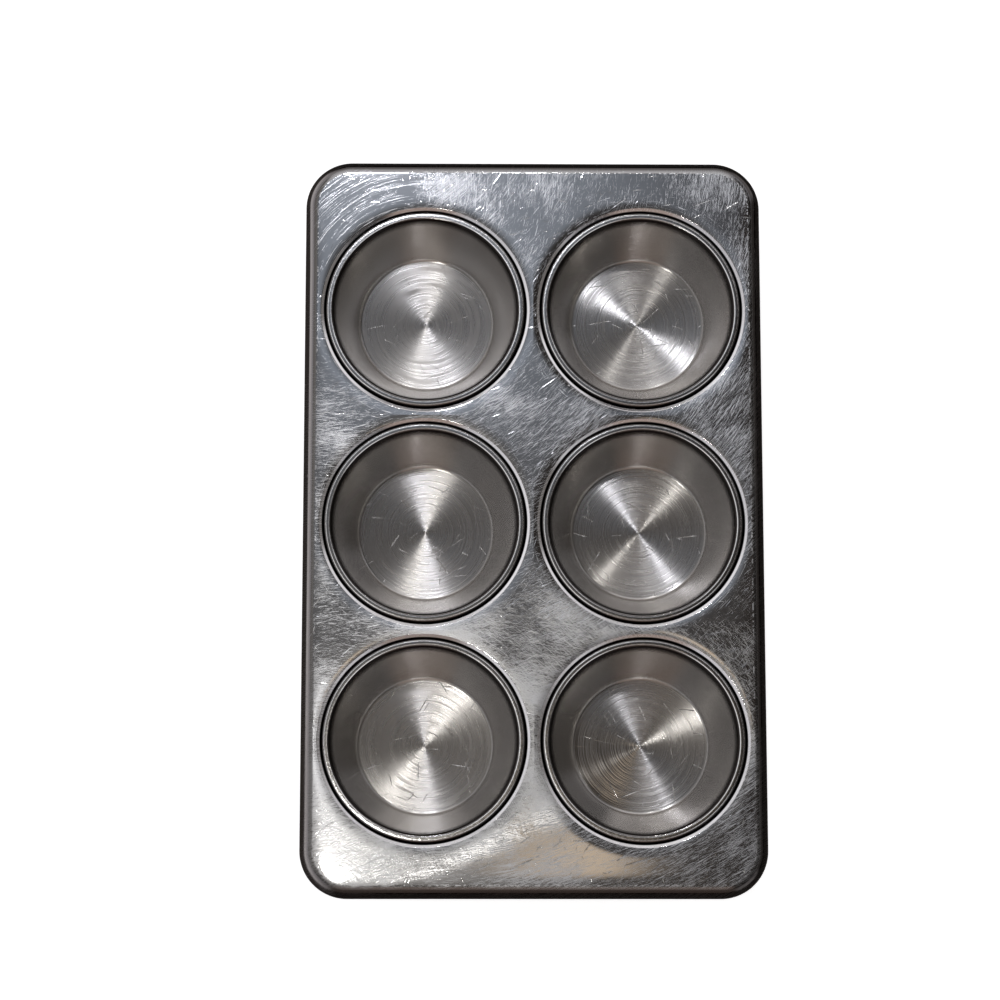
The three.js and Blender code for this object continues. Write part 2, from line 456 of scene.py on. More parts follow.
def add(tree, kind, inputs=None, **settings):
    """Adds a node, sets it, and fills its inputs with values or with links from other nodes."""
    made = tree.nodes.new(kind)
    for name, value in settings.items():
        setattr(made, name, value)
    for key, value in (inputs or {}).items():
        if isinstance(value, bpy.types.NodeSocket):
            tree.links.new(value, made.inputs[key])
        else:
            made.inputs[key].default_value = value
    return made


def new_finish(name):
    material = bpy.data.materials.new(name)
    material.use_nodes = True
    return material, material.node_tree.nodes["Principled BSDF"]


def per_mm(size_mm):
    """Scale of a pattern on coordinates in metres whose features are this many millimetres wide."""
    return 1 / (size_mm * MM)


print("middle grey is", round(linear(MIDDLE_GREY)[0], 3), "in linear light")

# %% [markdown]
# ## Single scratches
# Knives and scouring pads leave single scratches. They could be drawn one by one, but a Voronoi texture
# already gives every cell its own point and its own random colour, and that is enough for one short, bowed
# line in each cell. Real scratches are finer than a pixel, so these are drawn 0.12 to 0.18 mm wide.

# %% Scratch pattern
SCRATCH_BOW = 0.07


def scratches(tree, coordinates, cell_mm, length_mm, width_mm, direction_deg, spread_deg, share):
    """Mask of single scratches: one in a share of the cells, each with its own direction and strength."""
    low_turn = math.radians(direction_deg - spread_deg)
    high_turn = math.radians(direction_deg + spread_deg)
    half_length = length_mm / cell_mm / 2
    cells = add(tree, "ShaderNodeVectorMath", {0: coordinates, 3: per_mm(cell_mm)}, operation="SCALE")
    voronoi = add(tree, "ShaderNodeTexVoronoi", {"Vector": cells.outputs[0], "Scale": 1},
                  voronoi_dimensions="2D")
    offset = add(tree, "ShaderNodeVectorMath", {0: cells.outputs[0], 1: voronoi.outputs["Position"]},
                 operation="SUBTRACT")
    chance = add(tree, "ShaderNodeSeparateColor", {0: voronoi.outputs["Color"]})
    turn = add(tree, "ShaderNodeMapRange", {0: chance.outputs[0], 3: low_turn, 4: high_turn})
    turned = add(tree, "ShaderNodeVectorRotate", {"Vector": offset.outputs[0], "Angle": turn.outputs[0]},
                 rotation_type="Z_AXIS")
    along = add(tree, "ShaderNodeSeparateXYZ", {0: turned.outputs[0]})
    bow = add(tree, "ShaderNodeMath", {0: along.outputs[0], 1: along.outputs[0]}, operation="MULTIPLY")
    curved = add(tree, "ShaderNodeMath", {0: bow.outputs[0], 1: SCRATCH_BOW, 2: along.outputs[1]},
                 operation="MULTIPLY_ADD")
    across = add(tree, "ShaderNodeMath", {0: curved.outputs[0]}, operation="ABSOLUTE")
    reach = add(tree, "ShaderNodeMath", {0: along.outputs[0]}, operation="ABSOLUTE")
    thin = add(tree, "ShaderNodeMapRange", {0: across.outputs[0], 1: width_mm / cell_mm, 2: 0})
    ended = add(tree, "ShaderNodeMapRange", {0: reach.outputs[0], 1: half_length, 2: half_length / 3})
    line = add(tree, "ShaderNodeMath", {0: thin.outputs[0], 1: ended.outputs[0]}, operation="MULTIPLY")
    kept = add(tree, "ShaderNodeMapRange", {0: chance.outputs[1], 1: 1 - share, 2: 1})
    line = add(tree, "ShaderNodeMath", {0: line.outputs[0], 1: kept.outputs[0]}, operation="MULTIPLY")
    return line.outputs[0]


print("scratch cells of 3 mm have a scale of", round(per_mm(3)))

# %% [markdown]
# ## Circles round the cups
# Buffing and spinning both leave circles round each cup. The nearest cup's axis is worked out from the
# place itself, in rows and columns, so one finish serves all six. Noise that is stretched along the turn
# and squeezed along the radius then gives rings, shifted so that no two cups have the same ones.

# %% Ring pattern
OWN_RINGS = (9, 9, 0)
cup_steps = (cup_pitch / 2, cup_pitch, 0)


def from_cup_axis(tree, place):
    """The place as seen from the axis of the nearest cup, and that cup's column and row."""
    parts = add(tree, "ShaderNodeSeparateXYZ", {0: place})
    column = add(tree, "ShaderNodeMath", {0: parts.outputs[0]}, operation="SIGN")
    rows_up = add(tree, "ShaderNodeMath", {0: parts.outputs[1], 1: cup_pitch}, operation="DIVIDE")
    nearest = add(tree, "ShaderNodeMath", {0: rows_up.outputs[0]}, operation="ROUND")
    row = add(tree, "ShaderNodeClamp", {0: nearest.outputs[0], 1: -1, 2: 1})
    which_cup = add(tree, "ShaderNodeCombineXYZ", {0: column.outputs[0], 1: row.outputs[0]})
    axis = add(tree, "ShaderNodeVectorMath", {0: which_cup.outputs[0], 1: cup_steps}, operation="MULTIPLY")
    level = add(tree, "ShaderNodeVectorMath", {0: place, 1: (1, 1, 0)}, operation="MULTIPLY")
    seen = add(tree, "ShaderNodeVectorMath", {0: level.outputs[0], 1: axis.outputs[0]}, operation="SUBTRACT")
    return seen.outputs[0], which_cup.outputs[0]


def ring_place(tree, from_axis, which_cup, spacing_mm, turn_scale):
    """Coordinates in which noise makes rings round the cup's axis, different in every cup."""
    from_middle = add(tree, "ShaderNodeVectorMath", {0: from_axis}, operation="LENGTH").outputs["Value"]
    heading = add(tree, "ShaderNodeVectorMath", {0: from_axis}, operation="NORMALIZE")
    shift = add(tree, "ShaderNodeVectorMath", {0: which_cup, 1: OWN_RINGS}, operation="MULTIPLY")
    slow = add(tree, "ShaderNodeVectorMath", {0: heading.outputs[0], 1: (turn_scale, turn_scale, 0),
                                              2: shift.outputs[0]}, operation="MULTIPLY_ADD")
    fast = add(tree, "ShaderNodeMath", {0: from_middle, 1: per_mm(spacing_mm)}, operation="MULTIPLY")
    outward = add(tree, "ShaderNodeCombineXYZ", {2: fast.outputs[0]})
    rings = add(tree, "ShaderNodeVectorMath", {0: slow.outputs[0], 1: outward.outputs[0]}, operation="ADD")
    return rings.outputs[0]


print("cups are", round(cup_pitch / MM, 1), "mm apart")

# %% [markdown]
# ## Buffed plate
# Bright buffed stainless steel sheet: after pressing, the plate was buffed with a cloth wheel, also in turns
# round each hole, and years of wiping and scouring left hairline scratches in wide arcs. The eye sees a soft
# mirror that is dark where the room is dark, with fine lines that spread the lamps' light across their own
# direction. The finish first needs to know where on the plate it is: how far from a cup's axis, how far
# towards the rolled edge, and how near the back left corner, which was buffed in wide turns.

# %% Places on the plate
CORNER_ARCS_MM = (-75, 128)
CORNER_FAR = 42 * MM
CORNER_NEAR = 18 * MM

plate_steel, shader = new_finish("buffed_stainless_sheet")
tree = plate_steel.node_tree
place = add(tree, "ShaderNodeTexCoord").outputs["Object"]
level_place = add(tree, "ShaderNodeVectorMath", {0: place, 1: (1, 1, 0)}, operation="MULTIPLY").outputs[0]
parts = add(tree, "ShaderNodeSeparateXYZ", {0: place})
aside = parts.outputs[0]
depth = parts.outputs[1]
from_axis, which_cup = from_cup_axis(tree, place)
radius = add(tree, "ShaderNodeVectorMath", {0: from_axis}, operation="LENGTH").outputs["Value"]

size = add(tree, "ShaderNodeVectorMath", {0: place}, operation="ABSOLUTE")
straight = plate_size / 2 - Vector((CORNER_R, CORNER_R, 0))
past = add(tree, "ShaderNodeVectorMath", {0: size.outputs[0], 1: (straight.x, straight.y, 1)},
           operation="SUBTRACT")
past = add(tree, "ShaderNodeVectorMath", {0: past.outputs[0], 1: (0, 0, 0)}, operation="MAXIMUM")
reach = add(tree, "ShaderNodeVectorMath", {0: past.outputs[0]}, operation="LENGTH").outputs["Value"]
edge = add(tree, "ShaderNodeMath", {0: reach, 1: CORNER_R - EDGE_R}, operation="DIVIDE").outputs[0]

corner_place = Vector((*CORNER_ARCS_MM, 0)) * MM
off = add(tree, "ShaderNodeVectorMath", {0: level_place, 1: corner_place}, operation="DISTANCE")
cornered = add(tree, "ShaderNodeMapRange", {0: off.outputs["Value"], 1: CORNER_FAR, 2: CORNER_NEAR},
               interpolation_type="SMOOTHSTEP").outputs[0]
print("plate finish has", len(tree.nodes), "nodes")

# %% [markdown]
# ## Wear
# No pan is worn evenly. A coarse noise makes patches, the back left corner is spared, and a few places that
# are scoured more or less than the rest are given one by one, each with its place, its reach and how much
# more it is worn. Wear decides how many hairlines there are.

# %% Wear
PATCH_MM = 28
PATCH_WEAR = 0.12
BACK_SWEEPS_MM = ((-65, 170), (-95, 140))
SPARED_NEAR = 30 * MM
SPARED_FAR = 250 * MM
SPARED_WEAR = (-0.06, 0.04)
WEAR_SPOTS_MM = (
    (-38, 131, 32, 0.11), (0, 131, 30, 0.04), (70, 131, 30, 0.02),
    (-75, 30, 40, 0.03), (75, 45, 35, 0.04),
    (-75, -41, 40, -0.04), (0, -41, 30, -0.03), (75, -41, 50, -0.08),
    (-41, -131, 34, -0.02),
)

patches = add(tree, "ShaderNodeTexNoise", {"Vector": place, "Scale": per_mm(PATCH_MM), "Detail": 2})
patches = add(tree, "ShaderNodeMapRange", {0: patches.outputs[0], 3: -PATCH_WEAR, 4: PATCH_WEAR}, clamp=False)
spared_place = Vector((*BACK_SWEEPS_MM[0], 0)) * MM
off = add(tree, "ShaderNodeVectorMath", {0: level_place, 1: spared_place}, operation="DISTANCE")
spared = add(tree, "ShaderNodeMapRange", {0: off.outputs["Value"], 1: SPARED_NEAR, 2: SPARED_FAR,
                                          3: SPARED_WEAR[0], 4: SPARED_WEAR[1]})
wear = add(tree, "ShaderNodeMath", {0: patches.outputs[0], 1: spared.outputs[0]}, operation="ADD").outputs[0]
for x_mm, y_mm, reach_mm, more in WEAR_SPOTS_MM:
    spot = Vector((x_mm, y_mm, 0)) * MM
    off = add(tree, "ShaderNodeVectorMath", {0: level_place, 1: spot}, operation="DISTANCE")
    extra = add(tree, "ShaderNodeMapRange", {0: off.outputs["Value"], 1: reach_mm * MM, 2: 0, 3: 0, 4: more},
                interpolation_type="SMOOTHSTEP")
    wear = add(tree, "ShaderNodeMath", {0: wear, 1: extra.outputs[0]}, operation="ADD").outputs[0]
print("places worn more or less:", len(WEAR_SPOTS_MM))

# %% [markdown]
# ## Hairlines from wiping
# A cloth swings round the elbow, so its hairlines are arcs round places near one end of the pan. Real ones
# are about 0.02 mm wide, too fine to show, so bundles of them are drawn as dashes, as coarse as they need to
# be. A noise that is squeezed along the radius of the swing and cut at a level gives such dashes.

# %% Hairline pattern
SWEEP_SPACING_MM = (0.14, 0.24)
SWEEP_LENGTH_MM = (6, 9)
SWEEP_LEVELS = (0.612, 0.645)
DASH_NOISE = {"Scale": 1, "Detail": 3, "Roughness": 0.8}


def brightest(tree, masks):
    """The largest of several masks."""
    top = masks[0]
    for mask in masks[1:]:
        top = add(tree, "ShaderNodeMath", {0: top, 1: mask}, operation="MAXIMUM").outputs[0]
    return top


def dashes(tree, coordinates, levels, wear):
    """Mask of the long spindles where a stretched noise is high, and more of them where wear is high."""
    noise = add(tree, "ShaderNodeTexNoise", {"Vector": coordinates, **DASH_NOISE})
    worn = add(tree, "ShaderNodeMath", {0: noise.outputs[0], 1: wear}, operation="ADD")
    return add(tree, "ShaderNodeMapRange", {0: worn.outputs[0], 1: levels[0], 2: levels[1]},
               interpolation_type="SMOOTHSTEP").outputs[0]


def swept_arcs(tree, place, centres_mm, wear):
    """Mask of the arcs that wiping leaves, swept round places near one end, and the direction across them."""
    masks = []
    for centre_mm in centres_mm:
        centre = Vector((*centre_mm, 0)) * MM
        away = add(tree, "ShaderNodeVectorMath", {0: place, 1: centre}, operation="SUBTRACT").outputs[0]
        level = add(tree, "ShaderNodeVectorMath", {0: away, 1: (1, 1, 0)}, operation="MULTIPLY").outputs[0]
        if not masks:
            across = add(tree, "ShaderNodeVectorMath", {0: level}, operation="NORMALIZE").outputs[0]
        swing = add(tree, "ShaderNodeVectorMath", {0: level}, operation="LENGTH").outputs["Value"]
        for spacing_mm, length_mm in zip(SWEEP_SPACING_MM, SWEEP_LENGTH_MM):
            fast = add(tree, "ShaderNodeMath", {0: swing, 1: per_mm(spacing_mm)}, operation="MULTIPLY")
            outward = add(tree, "ShaderNodeCombineXYZ", {2: fast.outputs[0]})
            slow = [per_mm(length_mm)] * 3
            arcs = add(tree, "ShaderNodeVectorMath", {0: level, 1: slow, 2: outward.outputs[0]},
                       operation="MULTIPLY_ADD")
            masks.append(dashes(tree, arcs.outputs[0], SWEEP_LEVELS, wear))
    return brightest(tree, masks), across


print("hairline bundles", SWEEP_SPACING_MM, "mm apart")

# %% [markdown]
# ## Where the cloth went
# The plate was wiped from both ends. The arcs from the back end cover it all, but few of them show in the
# buffed corner. The arcs from the front end fade out towards the middle and beside their own centre. A
# slow warp keeps all of them from being perfect circles.

# %% Wipe the plate
FRONT_SWEEPS_MM = ((-82, -148), (-30, -205))
WARP_MM = 22
WARP_REACH = 1 * MM
CORNER_WEAR = -0.2
FRONT_WEAR = 0.03
FRONT_FADE = (10 * MM, -60 * MM)
INWARD_FADE = (0.25, 0.5)

warp = add(tree, "ShaderNodeTexNoise", {"Vector": place, "Scale": per_mm(WARP_MM), "Detail": 1})
bent = add(tree, "ShaderNodeVectorMath", {0: warp.outputs["Color"], 1: (WARP_REACH, WARP_REACH, 0), 2: place},
           operation="MULTIPLY_ADD").outputs[0]
back_wear = add(tree, "ShaderNodeMath", {0: cornered, 1: CORNER_WEAR, 2: wear}, operation="MULTIPLY_ADD")
back, across_back = swept_arcs(tree, bent, BACK_SWEEPS_MM, back_wear.outputs[0])
front_wear = add(tree, "ShaderNodeMath", {0: wear, 1: FRONT_WEAR}, operation="ADD")
front, across_front = swept_arcs(tree, bent, FRONT_SWEEPS_MM, front_wear.outputs[0])
rising = add(tree, "ShaderNodeSeparateXYZ", {0: across_front}).outputs[1]
for value, (start, end) in ((depth, FRONT_FADE), (rising, INWARD_FADE)):
    fade = add(tree, "ShaderNodeMapRange", {0: value, 1: start, 2: end}, interpolation_type="SMOOTHSTEP")
    front = add(tree, "ShaderNodeMath", {0: front, 1: fade.outputs[0]}, operation="MULTIPLY").outputs[0]
print("plate finish has", len(tree.nodes), "nodes")

# %% [markdown]
# ## Buffing arcs and single scratches
# The cloth wheel went round each hole and left fine arcs close to it, which reach further out in the back
# left corner. On top come three layers of single scratches, long, middling and short, and fewer of them show
# in that corner. Each layer gives the cell, the length and the width in millimetres, the direction and its
# spread in degrees, and the share of cells that have a scratch.

# %% Buffing arcs and scratches
ARC_FADE_START = hole_r + 5 * MM
ARC_FADE_END = hole_r + 13 * MM
ARC_LOSS = -0.2
ARC_SPACING_MM = 0.35
ARC_TURN_SCALE = 2.5
ARC_LEVELS = (0.625, 0.67)
CORNER_ARC_REACH = 30 * MM
CORNER_ARC_GAIN = 0.05
SCRATCH_LAYERS = ((14, 12, 0.18, -32, 25, 0.6), (6, 5, 0.15, -30, 50, 0.65), (3, 1.8, 0.13, -30, 90, 0.3))
CORNER_SCRATCHES = 0.3

shortened = add(tree, "ShaderNodeMath", {0: cornered, 1: -CORNER_ARC_REACH, 2: radius},
                operation="MULTIPLY_ADD")
fewer = add(tree, "ShaderNodeMapRange", {0: shortened.outputs[0], 1: ARC_FADE_START, 2: ARC_FADE_END,
                                         3: 0, 4: ARC_LOSS})
arc_wear = add(tree, "ShaderNodeMath", {0: cornered, 1: CORNER_ARC_GAIN, 2: fewer.outputs[0]},
               operation="MULTIPLY_ADD")
arc_place = ring_place(tree, from_axis, which_cup, ARC_SPACING_MM, ARC_TURN_SCALE)
buffing = dashes(tree, arc_place, ARC_LEVELS, arc_wear.outputs[0])

marks = brightest(tree, [scratches(tree, place, *layer) for layer in SCRATCH_LAYERS])
shown = add(tree, "ShaderNodeMapRange", {0: cornered, 3: 1, 4: CORNER_SCRATCHES})
marks = add(tree, "ShaderNodeMath", {0: marks, 1: shown.outputs[0]}, operation="MULTIPLY").outputs[0]
print("scratch layers", len(SCRATCH_LAYERS))

# %% [markdown]
# ## Worn lines
# Bends rub against whatever the pan meets. The pressed shoulder of every hole is rubbed rougher, and its
# near-white tone is a painted highlight; where the edge begins to roll there is a broken line of specks. Both
# are bands round a given place: the full band inside most of its width, and nothing beyond it.

# %% Worn lines
SHOULDER_LINE = (hole_r - 0.85 * MM, 0.7 * MM)
EDGE_LINE = (1.01, 0.025)
FULL_WIDTH = 0.7
SPECK_MM = 1.2
SPECK_LEVELS = (0.5, 0.6)

worn_lines = []
for value, (middle, width) in ((radius, SHOULDER_LINE), (edge, EDGE_LINE)):
    off = add(tree, "ShaderNodeMath", {0: value, 1: middle}, operation="SUBTRACT")
    away = add(tree, "ShaderNodeMath", {0: off.outputs[0]}, operation="ABSOLUTE")
    band = add(tree, "ShaderNodeMapRange", {0: away.outputs[0], 1: width, 2: FULL_WIDTH * width})
    worn_lines.append(band.outputs[0])
shoulder, specks = worn_lines
broken = add(tree, "ShaderNodeTexNoise", {"Vector": place, "Scale": per_mm(SPECK_MM), "Detail": 2})
broken = add(tree, "ShaderNodeMapRange", {0: broken.outputs[0], 1: SPECK_LEVELS[0], 2: SPECK_LEVELS[1]})
specks = add(tree, "ShaderNodeMath", {0: specks, 1: broken.outputs[0]}, operation="MULTIPLY").outputs[0]
print("shoulder line", round(2 * SHOULDER_LINE[1] / MM, 1), "mm wide")

# %% [markdown]
# ## How rough the plate is
# Buffed steel is nearly a mirror, and each scratch is a rough line in it. Light spreads across a hairline, so
# the shader's tangent points across the arcs of whichever end left the stronger mark. Down in the groove
# beside the bead no scratches show.

# %% Plate roughness
MIRROR_ROUGHNESS = 0.03
SCRATCH_ROUGHNESS = 0.35
SHOULDER_ROUGHNESS = 0.12
PLATE_ANISOTROPY = 0.85
GROOVE_START = hole_r - 1.2 * MM
GROOVE_END = hole_r - 1.5 * MM

on_top = add(tree, "ShaderNodeMapRange", {0: radius, 1: GROOVE_END, 2: GROOVE_START}).outputs[0]
scratched = brightest(tree, [back, front, marks, buffing, specks])
scratched = add(tree, "ShaderNodeMath", {0: scratched, 1: on_top}, operation="MULTIPLY").outputs[0]
rough = add(tree, "ShaderNodeMapRange", {0: scratched, 3: MIRROR_ROUGHNESS, 4: SCRATCH_ROUGHNESS})
rubbed = add(tree, "ShaderNodeMath", {0: shoulder, 1: SHOULDER_ROUGHNESS}, operation="MULTIPLY")
rough = brightest(tree, [rough.outputs[0], rubbed.outputs[0]])
is_front = add(tree, "ShaderNodeMath", {0: front, 1: back}, operation="GREATER_THAN")
tangent = add(tree, "ShaderNodeMix", {0: is_front.outputs[0], "A": across_back, "B": across_front},
              data_type="VECTOR")
tree.links.new(rough, shader.inputs["Roughness"])
tree.links.new(tangent.outputs["Result"], shader.inputs["Tangent"])
shader.inputs["Metallic"].default_value = 1
shader.inputs["Anisotropic"].default_value = PLATE_ANISOTROPY
print("plate roughness from", MIRROR_ROUGHNESS, "to", SCRATCH_ROUGHNESS)

# %% [markdown]
# ## Colours of the plate
# Steel is a neutral grey, a little paler where it is scratched, and the rubbed shoulders carry a painted
# highlight in a near-white tone. The rolled edge is darkened as painted shade, least on the left side, and
# the groove beside each bead is painted near-black as painted shade.

# %% Plate colours
BUFFED_TONE = "#B8B7B7"
SCRATCHED_TONE = "#C8C8C8"
SHOULDER_PAINTED_HIGHLIGHT = "#F4F2F2"
ROLL_LEFT_PAINTED_SHADE = "#9A9593"
ROLL_PAINTED_SHADE = "#5B5755"
GROOVE_PAINTED_SHADE = "#2B2725"
ROLL_LEFT_REACH = (-84 * MM, -74 * MM)
ROLL_SHADE_START = (1.05, 1.15)

# Painted shade: the rolled edge takes a dark tone, and a lighter one on its left side.
rolled = add(tree, "ShaderNodeMapRange", {0: edge, 1: ROLL_SHADE_START[0], 2: ROLL_SHADE_START[1]}).outputs[0]
left_roll = add(tree, "ShaderNodeMapRange", {0: aside, 1: ROLL_LEFT_REACH[0], 2: ROLL_LEFT_REACH[1]}).outputs[0]
roll_shade = add(tree, "ShaderNodeMix", {0: left_roll, "A": linear(ROLL_LEFT_PAINTED_SHADE), "B": linear(ROLL_PAINTED_SHADE)}, data_type="RGBA")
# Painted shade: the groove beside each bead takes a near-black tone.
in_groove = add(tree, "ShaderNodeMath", {0: 1, 1: on_top}, operation="SUBTRACT").outputs[0]
tone = linear(BUFFED_TONE)
# The near-white shoulder tone in this loop is a painted highlight.
for share, colour in ((scratched, linear(SCRATCHED_TONE)), (rolled, roll_shade.outputs["Result"]),
                      (shoulder, linear(SHOULDER_PAINTED_HIGHLIGHT)), (in_groove, linear(GROOVE_PAINTED_SHADE))):
    tone = add(tree, "ShaderNodeMix", {0: share, "A": tone, "B": colour}, data_type="RGBA").outputs["Result"]
tree.links.new(tone, shader.inputs["Base Color"])
print("plate finish has", len(tree.nodes), "nodes")

# %% [markdown]
# ## Form of the sheet
# Pressing leaves a sheet that is not quite flat: it drops by about a tenth of a millimetre towards its edge
# and its holes, and waves a little. That is too little to model but enough to bend the reflections, so it is
# a bump in metres of real height. The scratches are cut into it last.

# %% Plate bump
EDGE_CROWN = 0.08 * MM
EDGE_CROWN_POWER = 6
CROWN_FALLS = (100 * MM, 130 * MM)
CROWN_SHARE = 1 / 6
HOLE_DISH = 0.12 * MM
HOLE_DISH_WIDTH = 5 * MM
HOLE_DISH_POWER = 3
WAVE_HEIGHT = 0.03 * MM
SCRATCH_DEPTH = 0.02 * MM

crown = add(tree, "ShaderNodeMath", {0: edge, 1: EDGE_CROWN_POWER}, operation="POWER")
drop = add(tree, "ShaderNodeMapRange", {0: depth, 1: CROWN_FALLS[0], 2: CROWN_FALLS[1],
                                        3: -EDGE_CROWN, 4: -EDGE_CROWN * CROWN_SHARE})
crown = add(tree, "ShaderNodeMath", {0: crown.outputs[0], 1: drop.outputs[0]}, operation="MULTIPLY")
dish = add(tree, "ShaderNodeMapRange", {0: radius, 1: hole_r + HOLE_DISH_WIDTH, 2: hole_r})
dish = add(tree, "ShaderNodeMath", {0: dish.outputs[0], 1: HOLE_DISH_POWER}, operation="POWER")
form = add(tree, "ShaderNodeMath", {0: dish.outputs[0], 1: -HOLE_DISH, 2: crown.outputs[0]},
           operation="MULTIPLY_ADD")
bump = add(tree, "ShaderNodeBump", {"Height": form.outputs[0], "Distance": 1, "Strength": 1})
for height, distance in ((warp.outputs[0], WAVE_HEIGHT), (marks, -SCRATCH_DEPTH)):
    bump = add(tree, "ShaderNodeBump", {"Height": height, "Distance": distance, "Strength": 1,
                                        "Normal": bump.outputs[0]})
tree.links.new(bump.outputs[0], shader.inputs["Normal"])
plate.data.materials.clear()
plate.data.materials.append(plate_steel)
print("plate finish", plate.data.materials[0].name)

# %% [markdown]
# ## Spun floors
# Spun stainless steel: each cup's floor turned on a lathe against an abrasive pad, which cut circles round
# the axis. Light spreads across the circles, so the eye sees bright bow-tie streaks that meet in the middle.
# The real lines are too fine to show, so they are drawn 0.45 mm apart, with broader worn rings and single
# scratches over them. The Tangent node takes its direction from the cup's own map.

# %% Spun steel
FLOOR_RING_MM = 0.45
FLOOR_RING_TURN = 0.5
WORN_RING_MM = 2.4
WORN_RING_TURN = 1.2
WORN_RING_LEVELS = (0.56, 0.7)
FLOOR_SCRATCHES = ((11, 10, 0.16, 0, 90, 0.7), (6, 5.4, 0.12, 0, 90, 0.5))
LINE_LEVELS = (0.3, 0.7)
SPUN_ROUGHNESS = (0.17, 0.29)
WORN_ROUGHER = 0.09
SCRATCH_ROUGHER = 0.3

spun_steel, shader = new_finish("spun_stainless_floor")
tree = spun_steel.node_tree
place = add(tree, "ShaderNodeTexCoord").outputs["Object"]
from_axis, which_cup = from_cup_axis(tree, place)
fine_place = ring_place(tree, from_axis, which_cup, FLOOR_RING_MM, FLOOR_RING_TURN)
rings = add(tree, "ShaderNodeTexNoise", {"Vector": fine_place, "Scale": 1, "Detail": 2}).outputs[0]
worn_place = ring_place(tree, from_axis, which_cup, WORN_RING_MM, WORN_RING_TURN)
worn = add(tree, "ShaderNodeTexNoise", {"Vector": worn_place, "Scale": 1, "Detail": 1}).outputs[0]
worn = add(tree, "ShaderNodeMapRange", {0: worn, 1: WORN_RING_LEVELS[0], 2: WORN_RING_LEVELS[1]}).outputs[0]
marks = brightest(tree, [scratches(tree, place, *layer) for layer in FLOOR_SCRATCHES])
rough = add(tree, "ShaderNodeMapRange", {0: rings, 1: LINE_LEVELS[0], 2: LINE_LEVELS[1],
                                         3: SPUN_ROUGHNESS[0], 4: SPUN_ROUGHNESS[1]}).outputs[0]
for mask, rougher in ((worn, WORN_ROUGHER), (marks, SCRATCH_ROUGHER)):
    rough = add(tree, "ShaderNodeMath", {0: mask, 1: rougher, 2: rough}, operation="MULTIPLY_ADD").outputs[0]
print("floor finish has", len(tree.nodes), "nodes")

# %% [markdown]
# ## Two floors that differ
# Six floors from one tool still age differently. One side of the front right floor is rubbed smooth, so it
# stays dark where the others shine, and the back left floor is scoured, so its streaks are broader. A cup is
# told apart by its column and row, whose product with the cup's own corner is 2 only there.

# %% Floors of single cups
FRONT_RIGHT_CUP = (1, -1, 0)
BACK_LEFT_CUP = (-1, 1, 0)
IS_THAT_CUP = (1.4, 1.6)
SMOOTH_SIDE = (-0.88, -0.47, 0)
SMOOTH_SECTOR = (0.4, 0.95)
RUBBED_SHARE = 0.3
SCOURED_ROUGHER = 1.3

heading = add(tree, "ShaderNodeVectorMath", {0: from_axis}, operation="NORMALIZE").outputs[0]
facing = add(tree, "ShaderNodeVectorMath", {0: heading, 1: SMOOTH_SIDE}, operation="DOT_PRODUCT")
sector = add(tree, "ShaderNodeMapRange", {0: facing.outputs["Value"], 1: SMOOTH_SECTOR[0],
                                          2: SMOOTH_SECTOR[1]}, interpolation_type="SMOOTHSTEP")
match = add(tree, "ShaderNodeVectorMath", {0: which_cup, 1: FRONT_RIGHT_CUP}, operation="DOT_PRODUCT")
there = add(tree, "ShaderNodeMapRange", {0: match.outputs["Value"], 1: IS_THAT_CUP[0], 2: IS_THAT_CUP[1]})
smooth = add(tree, "ShaderNodeMath", {0: sector.outputs[0], 1: there.outputs[0]}, operation="MULTIPLY")
kept = add(tree, "ShaderNodeMapRange", {0: smooth.outputs[0], 3: 1, 4: RUBBED_SHARE}).outputs[0]
match = add(tree, "ShaderNodeVectorMath", {0: which_cup, 1: BACK_LEFT_CUP}, operation="DOT_PRODUCT")
scoured = add(tree, "ShaderNodeMapRange", {0: match.outputs["Value"], 1: IS_THAT_CUP[0], 2: IS_THAT_CUP[1],
                                           3: 1, 4: SCOURED_ROUGHER}).outputs[0]
for share in (kept, scoured):
    rough = add(tree, "ShaderNodeMath", {0: rough, 1: share}, operation="MULTIPLY").outputs[0]
print("floor finish has", len(tree.nodes), "nodes")

# %% [markdown]
# ## Floor colours and bump
# The lines of the lathe differ a little in tone, and they and the scratches have a real depth. The depth is
# drawn larger than it is, as the lines are drawn coarser.

# %% Floor colours and bump
FLOOR_TONES = ("#C0BDBA", "#D4D1CE")
RING_DEPTH = 0.09 * MM
SCRATCH_TO_RING = -0.5

tone = add(tree, "ShaderNodeMix", {0: rings, "A": linear(FLOOR_TONES[0]), "B": linear(FLOOR_TONES[1])},
           data_type="RGBA")
height = add(tree, "ShaderNodeMath", {0: marks, 1: SCRATCH_TO_RING, 2: rings}, operation="MULTIPLY_ADD")
height = add(tree, "ShaderNodeMath", {0: height.outputs[0], 1: kept}, operation="MULTIPLY")
bump = add(tree, "ShaderNodeBump", {"Height": height.outputs[0], "Distance": RING_DEPTH, "Strength": 1})
tangent = add(tree, "ShaderNodeTangent", direction_type="UV_MAP", uv_map="round_axis")
tree.links.new(tone.outputs["Result"], shader.inputs["Base Color"])
tree.links.new(rough, shader.inputs["Roughness"])
tree.links.new(bump.outputs[0], shader.inputs["Normal"])
tree.links.new(tangent.outputs[0], shader.inputs["Tangent"])
shader.inputs["Metallic"].default_value = 1
shader.inputs["Anisotropic"].default_value = 1
print("floor roughness from", *SPUN_ROUGHNESS)

# %% [markdown]
# ## Satin walls
# Satin stainless steel: the wall is dull from drawing and was brushed while the cup turned. The eye sees a
# soft grey with broad bright bands from top to bottom. The brush lines are drawn 0.45 mm apart on the cup's
# map, coarser than they are. The wall is painted darker in the 4 mm under the bead, as painted shade.

